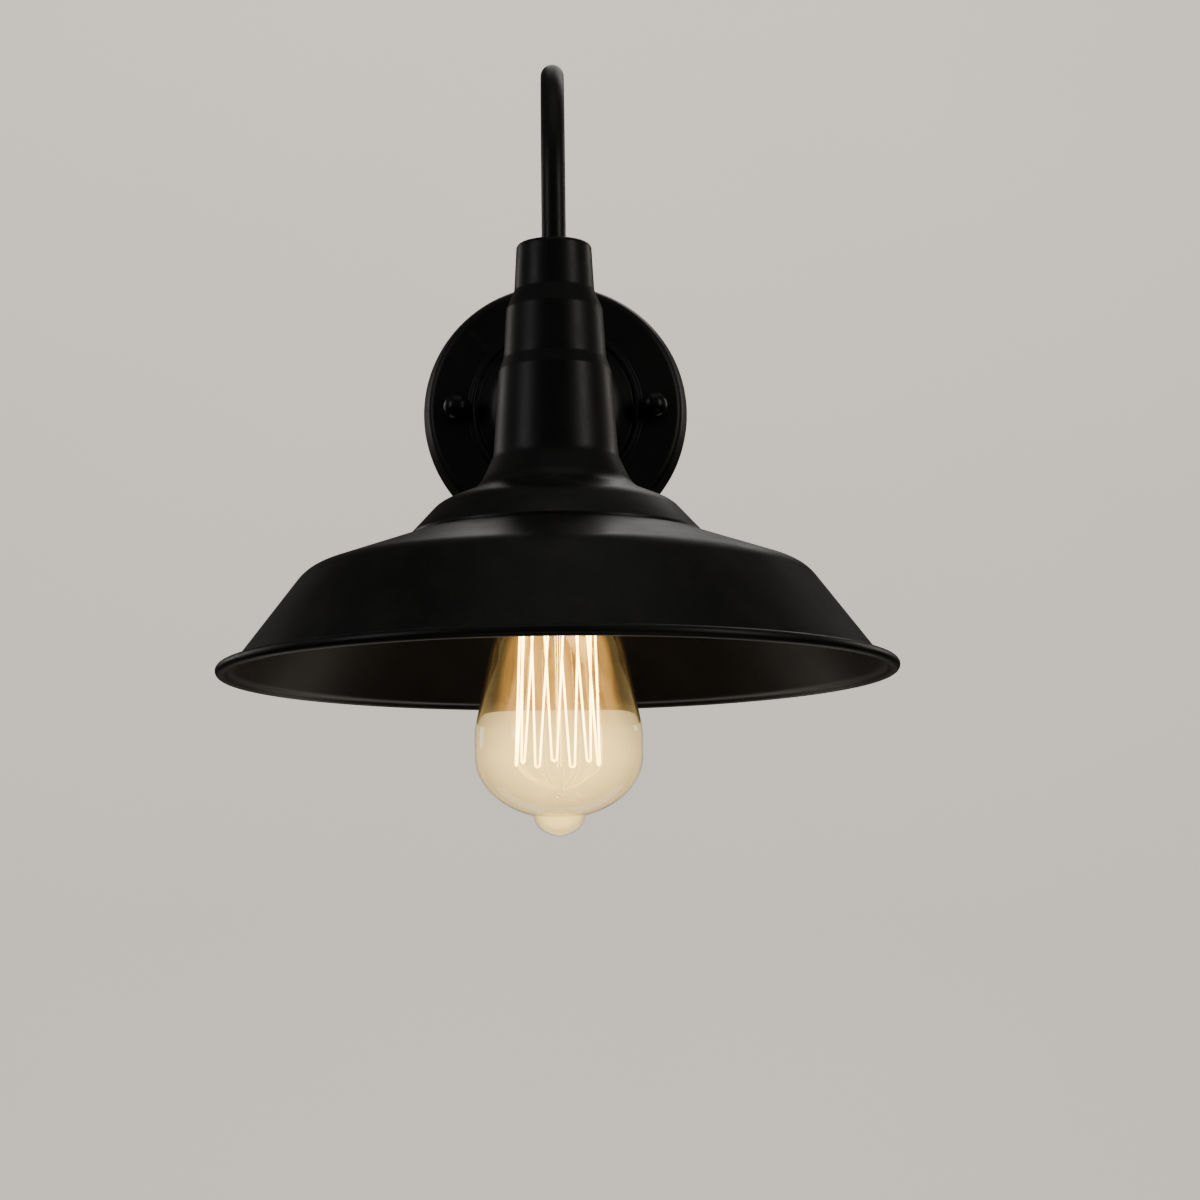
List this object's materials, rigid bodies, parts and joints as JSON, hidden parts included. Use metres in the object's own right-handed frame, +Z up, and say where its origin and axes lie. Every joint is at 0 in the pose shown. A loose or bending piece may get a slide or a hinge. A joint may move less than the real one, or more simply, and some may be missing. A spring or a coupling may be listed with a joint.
{
  "type": "outdoor wall lantern",
  "caption": "Gooseneck wall lantern with a wide shallow shade, a stepped neck, a round wall plate held by ball nuts, and a pear-shaped filament bulb that screws out.",
  "frame": {"origin": "centre of the wall plate, on the wall's surface", "axes": "+Z up, +Y into the wall, +X to the right seen from the front; the lamp reaches out along -Y"},
  "size_m": [0.26, 0.33, 0.3214],
  "materials": {
    "black_coat": "satin black powder coat",
    "zinc_plate": "bright zinc plate",
    "brass": "plain brass",
    "porcelain": "glazed white porcelain",
    "ground_green": "green passivated screw",
    "gasket_foam": "closed-cell foam",
    "washer_rubber": "black sealing rubber",
    "black_wire": "black wire insulation",
    "white_wire": "white wire insulation",
    "green_wire": "green wire insulation",
    "orange_cap": "orange moulded wire nut",
    "dark_screw": "black oxide screw",
    "cap_metal": "rolled screw cap, warm grey",
    "solder": "dull solder button",
    "black_glass": "black glass insulator",
    "amber_glass": "clear glass with a light amber tint",
    "clear_glass": "clear stem glass",
    "hook_wire": "fine bright support wire",
    "lead_wire": "copper-coated lead wire",
    "glowing_filament": "glowing filament"
  },
  "bodies": {
    "lamp": {"wall_gasket": "gasket_foam", "mounting_bar": "zinc_plate", "mounting_studs": "zinc_plate", "stud_lock_nuts": "zinc_plate", "ground_screw": "ground_green", "ground_lug": "brass", "ground_wire": "green_wire", "backplate": "black_coat", "arm_collar": "black_coat", "arm_tube": "black_coat", "arm_star_washers": "zinc_plate", "arm_lock_nuts": "zinc_plate", "live_wire": "black_wire", "neutral_wire": "white_wire", "wire_nuts": "orange_cap", "neck_cup": "black_coat", "lampholder_bracket": "zinc_plate", "lampholder_body": "porcelain", "lampholder_screws": "zinc_plate", "lampholder_shell": "brass", "lampholder_contact": "brass", "terminal_blocks": "brass", "terminal_screws": "zinc_plate", "shade": "black_coat", "shade_screws": "dark_screw", "shade_nuts": "zinc_plate"},
    "bulb_thread": {"bulb_contact": "solder"},
    "bulb": {"bulb_insulator": "black_glass", "bulb_cap": "cap_metal", "bulb_glass": "amber_glass", "bulb_stem": "clear_glass", "bulb_leads": "lead_wire", "bulb_supports": "hook_wire", "bulb_filament": "glowing_filament"},
    "left_washer": {"ball_washer_left": "washer_rubber"},
    "left_nut": {"ball_nut_left": "black_coat"},
    "right_washer": {"ball_washer_right": "washer_rubber"},
    "right_nut": {"ball_nut_right": "black_coat"}
  },
  "joints": [
    {"name": "bulb_travel", "type": "slide", "parent": "lamp", "child": "bulb_thread", "axis": [0, 0, -1], "range_m": [0, 0.0255]},
    {"name": "bulb_turn", "type": "hinge", "parent": "bulb_thread", "child": "bulb", "pos_m": [0, -0.2, -0.1], "axis": [0, 0, -1], "range_deg": [0, 2520]},
    {"name": "left_nut_travel", "type": "slide", "parent": "lamp", "child": "left_washer", "axis": [0, -1, 0], "range_m": [0, 0.00796]},
    {"name": "left_nut_turn", "type": "hinge", "parent": "left_washer", "child": "left_nut", "pos_m": [-0.04445, -0.02, 0], "axis": [0, -1, 0], "range_deg": [0, 3600]},
    {"name": "right_nut_travel", "type": "slide", "parent": "lamp", "child": "right_washer", "axis": [0, -1, 0], "range_m": [0, 0.00796]},
    {"name": "right_nut_turn", "type": "hinge", "parent": "right_washer", "child": "right_nut", "pos_m": [0.04445, -0.02, 0], "axis": [0, -1, 0], "range_deg": [0, 3600]}
  ],
  "couplings": [
    {"joint": "bulb_travel", "follows": "bulb_turn", "m_per_rad": 0.00057757},
    {"joint": "left_nut_travel", "follows": "left_nut_turn", "m_per_rad": 0.00012633},
    {"joint": "right_nut_travel", "follows": "right_nut_turn", "m_per_rad": 0.00012633}
  ]
}
